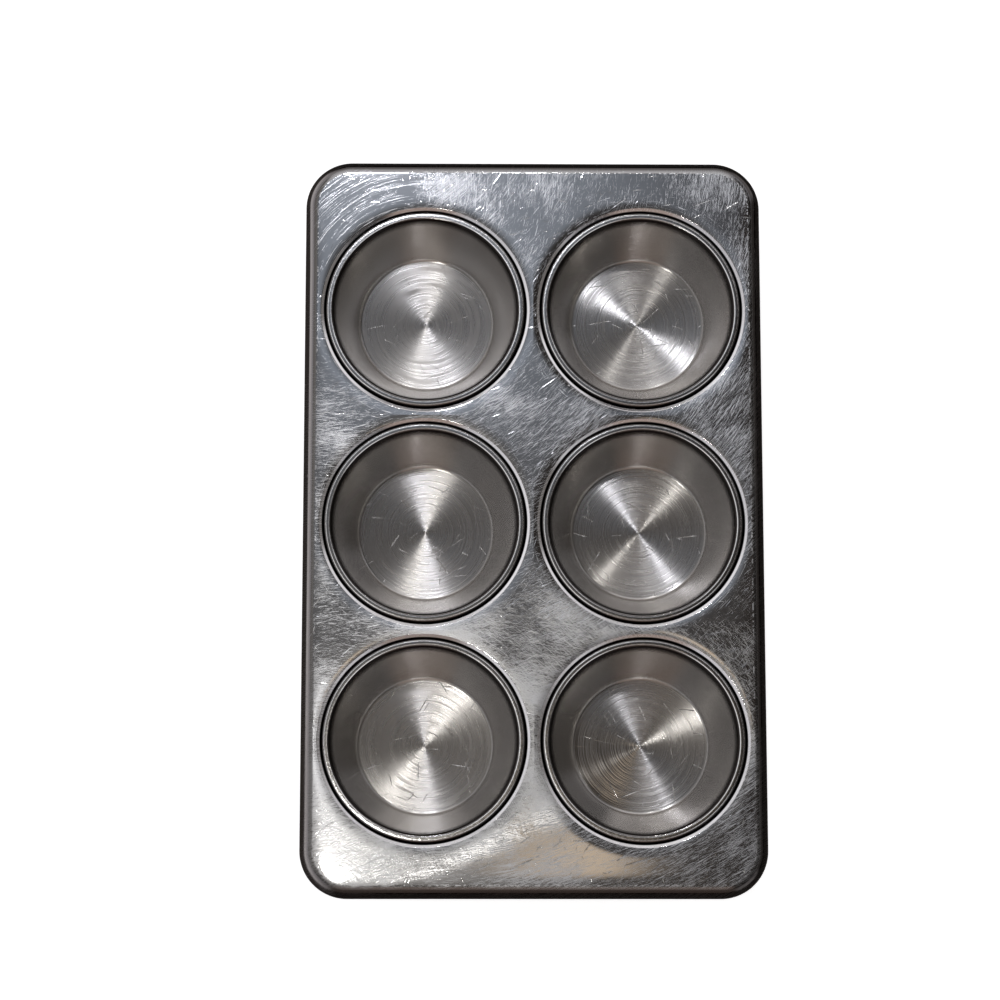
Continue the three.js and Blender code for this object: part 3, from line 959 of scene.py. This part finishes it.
# %% Satin steel
WALL_LINE_MM = 0.45
WALL_LINE_TURN = 6
SATIN_ROUGHNESS = (0.19, 0.22)
WALL_TONES = ("#C8C5C1", "#CECBC7")
UNDER_BEAD_PAINTED_SHADE = "#4B4643"
UNDER_BEAD_SHADE_DEPTH = 4 * MM
bead_start = rim_top - rim_inner_r + rim_inner_r * math.sin(wall_lean)

satin_steel, shader = new_finish("satin_stainless_wall")
tree = satin_steel.node_tree
cup_map = add(tree, "ShaderNodeUVMap", uv_map="round_axis").outputs[0]
lines_per_map = per_mm(WALL_LINE_MM) / UV_PER_METRE
stretched = add(tree, "ShaderNodeVectorMath", {0: cup_map, 1: (lines_per_map, WALL_LINE_TURN, 0)},
                operation="MULTIPLY")
lines = add(tree, "ShaderNodeTexNoise", {"Vector": stretched.outputs[0], "Scale": 1, "Detail": 2},
            noise_dimensions="2D").outputs[0]
rough = add(tree, "ShaderNodeMapRange", {0: lines, 1: LINE_LEVELS[0], 2: LINE_LEVELS[1],
                                         3: SATIN_ROUGHNESS[0], 4: SATIN_ROUGHNESS[1]})
tone = add(tree, "ShaderNodeMix", {0: lines, "A": linear(WALL_TONES[0]), "B": linear(WALL_TONES[1])},
           data_type="RGBA")
place = add(tree, "ShaderNodeTexCoord").outputs["Object"]
height = add(tree, "ShaderNodeSeparateXYZ", {0: place}).outputs[2]
# Painted shade: the wall darkens towards the bead.
under_bead = add(tree, "ShaderNodeMapRange", {0: height, 1: bead_start - UNDER_BEAD_SHADE_DEPTH, 2: bead_start},
                 interpolation_type="SMOOTHSTEP")
tone = add(tree, "ShaderNodeMix", {0: under_bead.outputs[0], "A": tone.outputs["Result"],
                                   "B": linear(UNDER_BEAD_PAINTED_SHADE)}, data_type="RGBA")
tangent = add(tree, "ShaderNodeTangent", direction_type="UV_MAP", uv_map="round_axis")
tree.links.new(tone.outputs["Result"], shader.inputs["Base Color"])
tree.links.new(rough.outputs[0], shader.inputs["Roughness"])
tree.links.new(tangent.outputs[0], shader.inputs["Tangent"])
shader.inputs["Metallic"].default_value = 1
shader.inputs["Anisotropic"].default_value = 1
print("wall finish has", len(tree.nodes), "nodes")

# %% [markdown]
# ## Polished beads
# Polished stainless steel: the roller that closed the seam burnished the bead. The eye sees two thin bright
# lines, one over each bend of the rim. The lines are a little rougher than the rest, so that they catch the
# lamps from more sides, and their near-white tone is a painted highlight. Where the bead turns down on both
# sides its tone is darkened, as painted shade.

# %% Bead steel
BURNISH_HIGHLIGHT_FULL = 0.08 * MM
BURNISH_HIGHLIGHT_END = 0.25 * MM
BEAD_ROUGHNESS = (0.12, 0.25)
BEAD_TONE_AND_HIGHLIGHT = ("#A5A3A1", "#F2F1F0")
inner_r = inner_bend[0]
outer_r = outer_bend[0]
BEAD_PAINTED_SHADE_BANDS = ((inner_r - 0.3 * MM, inner_r - 0.6 * MM), (outer_r + 0.3 * MM, outer_r + 0.55 * MM))

bead_steel, shader = new_finish("polished_stainless_bead")
tree = bead_steel.node_tree
place = add(tree, "ShaderNodeTexCoord").outputs["Object"]
from_axis = from_cup_axis(tree, place)[0]
radius = add(tree, "ShaderNodeVectorMath", {0: from_axis}, operation="LENGTH").outputs["Value"]
lines = []
for bend_r in (inner_r, outer_r):
    off = add(tree, "ShaderNodeMath", {0: radius, 1: bend_r}, operation="SUBTRACT")
    away = add(tree, "ShaderNodeMath", {0: off.outputs[0]}, operation="ABSOLUTE")
    line = add(tree, "ShaderNodeMapRange", {0: away.outputs[0], 1: BURNISH_HIGHLIGHT_END, 2: BURNISH_HIGHLIGHT_FULL})
    lines.append(line.outputs[0])
burnish_and_highlight = brightest(tree, lines)
rough = add(tree, "ShaderNodeMapRange", {0: burnish_and_highlight, 3: BEAD_ROUGHNESS[0], 4: BEAD_ROUGHNESS[1]})
# The near-white tone over the two lines is a painted highlight.
tone = add(tree, "ShaderNodeMix", {0: burnish_and_highlight, "A": linear(BEAD_TONE_AND_HIGHLIGHT[0]), "B": linear(BEAD_TONE_AND_HIGHLIGHT[1])},
           data_type="RGBA")
# Painted shade where the bead turns down on both sides.
for start, end in BEAD_PAINTED_SHADE_BANDS:
    turned_down = add(tree, "ShaderNodeMapRange", {0: radius, 1: start, 2: end})
    tone = add(tree, "ShaderNodeMix", {0: turned_down.outputs[0], "A": tone.outputs["Result"],
                                       "B": linear(GROOVE_PAINTED_SHADE)}, data_type="RGBA")
tree.links.new(tone.outputs["Result"], shader.inputs["Base Color"])
tree.links.new(rough.outputs[0], shader.inputs["Roughness"])
shader.inputs["Metallic"].default_value = 1
print("bead lines", round(2 * BURNISH_HIGHLIGHT_END / MM, 1), "mm wide")

# %% [markdown]
# ## Facets of the bead
# The roller also left narrow facets on the bends, about 0.3 mm wide, and tiny dents all over. The facets are
# a drop in height over each bend, as a bump, so that the bead's own round form stays clean.

# %% Bead bump
DENT_MM = 1
DENT_DEPTH = 0.03 * MM
FACET_DEPTH = 0.22 * MM
FACET_TOP = 0.05 * MM
FACET_FOOT = 0.25 * MM

dents = add(tree, "ShaderNodeTexNoise", {"Vector": place, "Scale": per_mm(DENT_MM), "Detail": 2})
bump = add(tree, "ShaderNodeBump", {"Height": dents.outputs[0], "Distance": DENT_DEPTH, "Strength": 1})
facet_ends = ((inner_r + FACET_TOP, inner_r - FACET_FOOT), (outer_r - FACET_TOP, outer_r + FACET_FOOT))
drops = []
for top_r, foot_r in facet_ends:
    drops.append(add(tree, "ShaderNodeMapRange", {0: radius, 1: top_r, 2: foot_r}).outputs[0])
facets = add(tree, "ShaderNodeMath", {0: drops[0], 1: drops[1]}, operation="ADD")
bump = add(tree, "ShaderNodeBump", {"Height": facets.outputs[0], "Distance": -FACET_DEPTH, "Strength": 1,
                                    "Normal": bump.outputs[0]})
tree.links.new(bump.outputs[0], shader.inputs["Normal"])
print("bead finish has", len(tree.nodes), "nodes")

# %% [markdown]
# ## Which face gets which finish
# The finishes meet at real bends, so a face's radius and height say which one it gets.

# %% Cup finishes
FLOOR_SLOT = 1
BEAD_SLOT = 2

for finish in (satin_steel, spun_steel, bead_steel):
    cup.data.materials.append(finish)
for face in cup.data.polygons:
    face_r = math.hypot(face.center.x, face.center.y)
    if face_r < FLOOR_R and face.center.z < floor_top + WELD:
        face.material_index = FLOOR_SLOT
    elif face_r > MOUTH_R or face.center.z > bead_start:
        face.material_index = BEAD_SLOT
print("cup finishes", [finish.name for finish in cup.data.materials])

# %% [markdown]
# ## Six cups in the plate
# All cups are pressed with the same tool, so one is modelled and copied. Each copy gets a mesh of its own
# and is moved to its hole, and the move is applied so that its place is in its mesh.

# %% Set the cups
for name, axis in cup_axes.items():
    clear_selection()
    cup.select_set(True)
    bpy.context.view_layer.objects.active = cup
    bpy.ops.object.duplicate(linked=False)
    copy = bpy.context.object
    copy.name = name.replace("cup_", "drawn_cup_")
    copy.data.name = copy.name
    bpy.ops.transform.translate(value=axis)
    bpy.ops.object.transform_apply(location=True, rotation=True, scale=True)
    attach(copy, "root")
    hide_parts(name)
bpy.data.objects.remove(cup)
plate.name = "pressed_plate"
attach(plate, "root")
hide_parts("frame_plate")

# %% [markdown]
# ## The floor
# The stage has a plain pale floor. Where the camera or a reflection sees it, it also glows a little, so that
# it is white without more light on the pan. Under the pan the glow drops, from the pan's outline to 30 mm
# inside it: that drop is a painted shadow of the pan.

# %% Floor
FLOOR_SIZE = 20
FLOOR_TONE = "#E8E8E8"
FLOOR_GLOW = 0.84
PAINTED_SHADOW_GLOW = 0.25
PAINTED_SHADOW_REACH = 30 * MM

clear_selection()
bpy.ops.mesh.primitive_plane_add(size=FLOOR_SIZE, location=(0, 0, 0))
floor = bpy.context.object
floor.name = "floor"
pale_floor, shader = new_finish("pale_floor")
tree = pale_floor.node_tree
tree.nodes.remove(shader)
path = add(tree, "ShaderNodeLightPath")
rays = ("Is Camera Ray", "Is Glossy Ray", "Is Transmission Ray")
seen = brightest(tree, [path.outputs[ray] for ray in rays])
place = add(tree, "ShaderNodeTexCoord").outputs["Object"]
size = add(tree, "ShaderNodeVectorMath", {0: place}, operation="ABSOLUTE")
past = add(tree, "ShaderNodeVectorMath", {0: size.outputs[0], 1: plate_size / 2}, operation="SUBTRACT")
parts = add(tree, "ShaderNodeSeparateXYZ", {0: past.outputs[0]})
outside = brightest(tree, [parts.outputs[0], parts.outputs[1]])
# Painted shadow: the glow drops under the pan.
glow = add(tree, "ShaderNodeMapRange", {0: outside, 1: -PAINTED_SHADOW_REACH, 2: 0, 3: PAINTED_SHADOW_GLOW, 4: FLOOR_GLOW},
           interpolation_type="SMOOTHSTEP")
glow = add(tree, "ShaderNodeMath", {0: seen, 1: glow.outputs[0]}, operation="MULTIPLY")
emission = add(tree, "ShaderNodeEmission", {"Strength": glow.outputs[0]})
matte = add(tree, "ShaderNodeBsdfDiffuse", {"Color": linear(FLOOR_TONE)})
both = add(tree, "ShaderNodeAddShader", {0: emission.outputs[0], 1: matte.outputs[0]})
tree.links.new(both.outputs[0], tree.nodes["Material Output"].inputs["Surface"])
floor.data.materials.append(pale_floor)
print("floor", FLOOR_SIZE, "m wide")

# %% [markdown]
# ## The ceiling
# Polished steel shows little of itself and much of what is round it, so the room matters as much as the
# lamps. From above, the plate mirrors the ceiling: grey and a little bluer towards the back, dark on the
# right, with three soft glows. Each glow has a direction, a reach and a colour.

# %% Ceiling
NEAR_CEILING = "#6E6A66"
FAR_CEILING = "#7B7F86"
RIGHT_CEILING = "#3A3532"
FAR_FADE = (0, 0.3)
RIGHT_FADE = (-0.03, 0.14)
GLOW_CORE = 0.005
GLOWS = (
    (Vector((-0.03, 0.29, 1)), 0.15, "#B2BAC6"),
    (Vector((-0.052, 0.02, 1)), 0.11, "#CFCCC8"),
    (Vector((0.037, 0.036, 1)), 0.04, "#FFE9CE"),
)

world = bpy.data.worlds.new("room")
bpy.context.scene.world = world
world.use_nodes = True
tree = world.node_tree
direction = add(tree, "ShaderNodeTexCoord").outputs["Generated"]
sides = add(tree, "ShaderNodeSeparateXYZ", {0: direction})
ceiling = linear(NEAR_CEILING)
for side, (start, end), colour in ((sides.outputs[1], FAR_FADE, FAR_CEILING),
                                   (sides.outputs[0], RIGHT_FADE, RIGHT_CEILING)):
    share = add(tree, "ShaderNodeMapRange", {0: side, 1: start, 2: end}, interpolation_type="SMOOTHSTEP")
    ceiling = add(tree, "ShaderNodeMix", {0: share.outputs[0], "A": ceiling, "B": linear(colour)},
                  data_type="RGBA").outputs["Result"]
for glow_place, reach, colour in GLOWS:
    off = add(tree, "ShaderNodeVectorMath", {0: direction, 1: glow_place.normalized()}, operation="DISTANCE")
    share = add(tree, "ShaderNodeMapRange", {0: off.outputs["Value"], 1: reach, 2: GLOW_CORE},
                interpolation_type="SMOOTHSTEP")
    ceiling = add(tree, "ShaderNodeMix", {0: share.outputs[0], "A": ceiling, "B": linear(colour)},
                  data_type="RGBA").outputs["Result"]
print("ceiling glows", len(GLOWS))

# %% [markdown]
# ## The walls
# The walls are what the plate mirrors from lower views, and what the cups and the rolled edge mirror from
# above. They are pale, darker with height, and dark near the ceiling, where the left and the back left are
# paler and the front right is dark from lower down. The back, right and front have an area of their own,
# dark low down, which draws the dark outline of the rolled edge. Each area is the part of the room inside
# its limits, and later areas cover earlier ones.

# %% Walls
WALL_TONE = "#F2F1F4"
OVERHEAD = (0.9, 0.95)
ROOM_SIDES = {
    "right": (1, 0, 0),
    "left": (-1, 0, 0),
    "back": (0, 1, 0),
    "front": (0, -1, 0),
    "front right": (0.707, -0.707, 0),
    "back left": (-0.707, 0.707, 0),
}
MIDDLE = (0.85, 0.95)
LOW = (0.3, 0.22)
HIGH = (0.66, 0.74)
WALL_AREAS = (
    ({"right": (-0.3, 0.5)}, "#E4E3E6"),
    ({"height": (0.3, 0.65)}, "#B6B5BA"),
    ({"front right": (0.5, 0.8), "height": (0.5, 0.58)}, "#2E2A28"),
    ({"right": MIDDLE}, "#6E6B69"),
    ({"right": MIDDLE, "height": LOW}, "#1E1A18"),
    ({"height": HIGH}, "#33302E"),
    ({"left": (0.8, 0.92), "height": HIGH}, "#7A7775"),
    ({"back left": (0.6, 0.95), "height": HIGH}, "#858280"),
    ({"back": MIDDLE}, "#E4E2E4"),
    ({"back": MIDDLE, "height": LOW}, "#1E1A18"),
    ({"front": MIDDLE}, "#9A8B84"),
    ({"front": MIDDLE, "height": LOW}, "#332926"),
    ({"height": (0.08, 0.02)}, "#1B1715"),
)

level = add(tree, "ShaderNodeVectorMath", {0: direction, 1: (1, 1, 0)}, operation="MULTIPLY")
heading = add(tree, "ShaderNodeVectorMath", {0: level.outputs[0]}, operation="NORMALIZE").outputs[0]
measures = {"height": sides.outputs[2]}
for name, side in ROOM_SIDES.items():
    facing = add(tree, "ShaderNodeVectorMath", {0: heading, 1: side}, operation="DOT_PRODUCT")
    measures[name] = facing.outputs["Value"]
walls = linear(WALL_TONE)
for limits, colour in WALL_AREAS:
    share = 1
    for name, (start, end) in limits.items():
        inside = add(tree, "ShaderNodeMapRange", {0: measures[name], 1: start, 2: end},
                     interpolation_type="SMOOTHSTEP")
        share = add(tree, "ShaderNodeMath", {0: share, 1: inside.outputs[0]}, operation="MULTIPLY").outputs[0]
    walls = add(tree, "ShaderNodeMix", {0: share, "A": walls, "B": linear(colour)},
                data_type="RGBA").outputs["Result"]
overhead = add(tree, "ShaderNodeMapRange", {0: sides.outputs[2], 1: OVERHEAD[0], 2: OVERHEAD[1]},
               interpolation_type="SMOOTHSTEP")
room = add(tree, "ShaderNodeMix", {0: overhead.outputs[0], "A": walls, "B": ceiling}, data_type="RGBA")
tree.links.new(room.outputs["Result"], tree.nodes["Background"].inputs["Color"])
print("wall areas", len(WALL_AREAS))

# %% [markdown]
# ## Dark cards
# A photographer lays dark cards round a shiny thing so that its edge draws a dark line. Here one flat frame
# of card lies round the pan, just above the floor, and is seen only in the pan's reflections.

# %% Cards
CARD_REACH = 8
CARD_OVERLAP = 10 * MM
CARD_HEIGHT = 1 * MM
CARD_TONE = "#5E5955"
CARD_ROUGHNESS = 0.9
card_growth = 2 * CARD_REACH - 2 * CARD_OVERLAP

clear_selection()
bpy.ops.mesh.primitive_plane_add(size=1, location=(0, 0, 0))
cards = start_piece("dark_cards")
bpy.ops.mesh.select_all(action="SELECT")
bpy.ops.transform.resize(value=(plate_size.x + card_growth, plate_size.y + card_growth, 1))
bpy.ops.transform.translate(value=(0, 0, CARD_HEIGHT))
bpy.ops.mesh.inset(thickness=CARD_REACH)
bpy.ops.mesh.delete(type="FACE")
bpy.ops.object.mode_set(mode="OBJECT")
cards.visible_camera = False
cards.visible_diffuse = False
cards.visible_shadow = False
dark_card, shader = new_finish("dark_card")
shader.inputs["Base Color"].default_value = linear(CARD_TONE)
shader.inputs["Roughness"].default_value = CARD_ROUGHNESS
cards.data.materials.append(dark_card)
print("card faces", len(cards.data.polygons))

# %% [markdown]
# ## The lamps
# Three small round lamps hang 1.3 m above the floor, two behind the pan and one at its front left. Each draws
# its own streak across the spun floors and lights the hairlines on the plate. A lamp has a place and a width
# in millimetres, its power in watts and a colour, and points at the middle of the pan.

# %% Lamps
LAMPS = {
    "far_lamp": ((-111, 569, 1300), 70, 1.05, "#F4F6FF"),
    "near_lamp": ((-148, -123, 1300), 70, 0.6, "#FCFAF6"),
    "thin_lamp": ((28, 707, 1300), 40, 0.3, "#FFFFFF"),
}

for name, (lamp_place, lamp_size, watts, colour) in LAMPS.items():
    lamp_data = bpy.data.lights.new(name, "AREA")
    lamp_data.shape = "DISK"
    lamp_data.size = lamp_size * MM
    lamp_data.energy = watts
    lamp_data.color = linear(colour)[:3]
    lamp = bpy.data.objects.new(name, lamp_data)
    lamp.location = Vector(lamp_place) * MM
    lamp.rotation_euler = (-lamp.location).to_track_quat("-Z", "Y").to_euler()
    bpy.context.scene.collection.objects.link(lamp)
bpy.context.scene.view_settings.view_transform = "Standard"
print("lamps", list(LAMPS))
